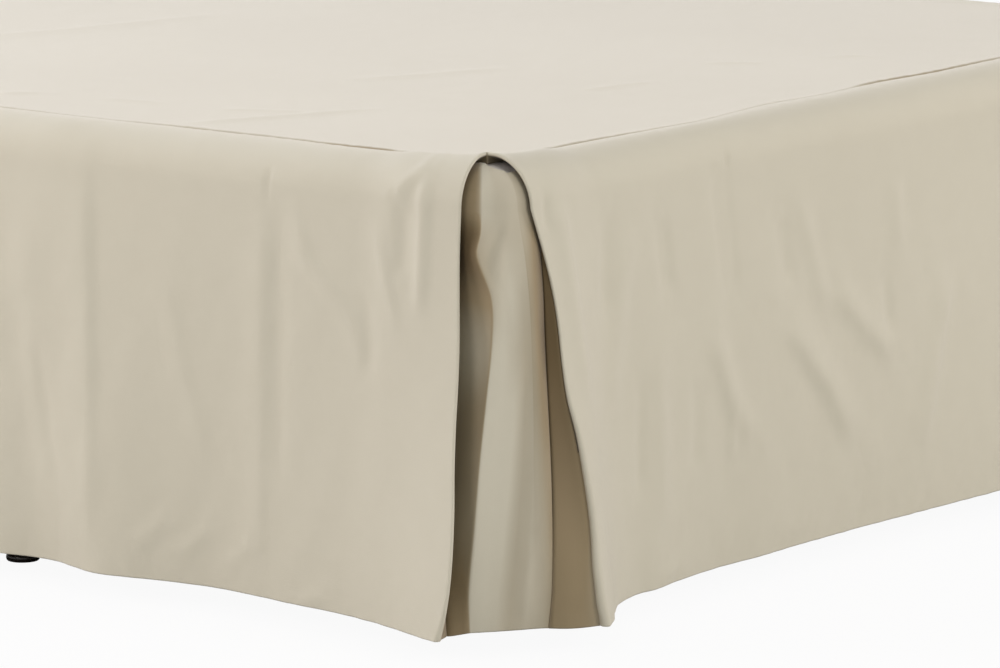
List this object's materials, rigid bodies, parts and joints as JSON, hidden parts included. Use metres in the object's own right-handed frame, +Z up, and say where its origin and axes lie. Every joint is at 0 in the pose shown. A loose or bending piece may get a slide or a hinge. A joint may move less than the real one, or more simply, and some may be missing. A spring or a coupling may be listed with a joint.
{
  "type": "bed skirt on bed base",
  "caption": "Tailored three-sided bed skirt with open inverted pleats at the foot corners, hung over a plain box bed base on slim legs with bell glides.",
  "frame": {"origin": "centre of the whole part's footprint, on the floor under the glides", "axes": "+Z up; -Y towards the foot end, where the pleated corners are; +Y towards the open head end; the long sides face -X and +X"},
  "size_m": [1.548, 2.0713, 0.4824],
  "materials": {
    "cotton": "matt plain-woven cotton mix, ecru",
    "base_cover": "matt woven base cover, off-white",
    "leg_steel": "satin dark brown paint",
    "glide_gloss": "gloss dark brown"
  },
  "bodies": {
    "root": {"deck": "cotton", "side_drop_left": "cotton", "side_drop_right": "cotton", "foot_drop": "cotton", "pleat_insert_left": "cotton", "pleat_insert_right": "cotton", "bed_base": "base_cover", "leg_1": "leg_steel", "leg_2": "leg_steel", "leg_3": "leg_steel", "leg_4": "leg_steel", "glide_1": "glide_gloss", "glide_2": "glide_gloss", "glide_3": "glide_gloss", "glide_4": "glide_gloss"}
  },
  "joints": []
}
